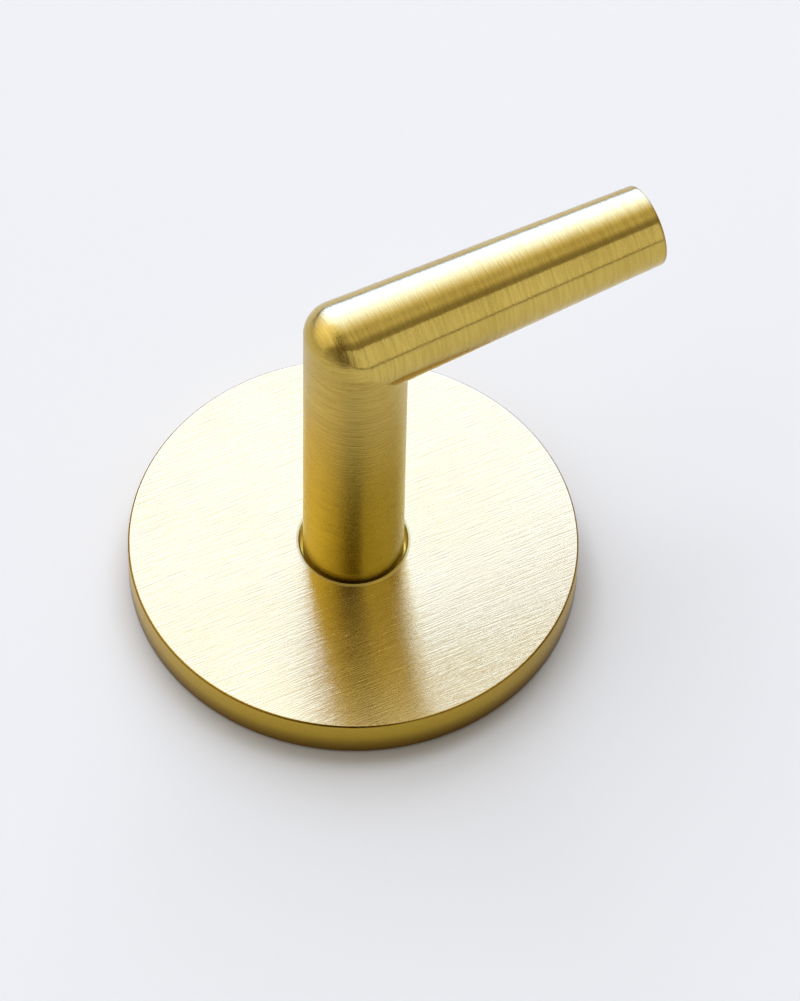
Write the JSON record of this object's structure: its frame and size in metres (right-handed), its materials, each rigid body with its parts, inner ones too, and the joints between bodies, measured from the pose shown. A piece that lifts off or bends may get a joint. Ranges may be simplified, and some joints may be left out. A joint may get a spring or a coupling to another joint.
{
  "type": "wall hook",
  "caption": "Brushed brass wall hook: a round backplate with a post and a tapered arm that turns up at a mitred elbow, for hanging a coat, bag or towel.",
  "frame": {"origin": "middle of the backplate's back face, at the mouth of the stud hole", "axes": "+Z out of the wall along the post, +Y up the wall along the arm, X across; the hook is the same on both sides of the YZ plane"},
  "size_m": [0.0536, 0.0648, 0.0494],
  "materials": {
    "plate_brass": "brushed, satin",
    "rod_brass": "brushed, satin"
  },
  "bodies": {
    "root": {"backplate": "plate_brass", "hook_rod": "rod_brass"}
  },
  "joints": []
}
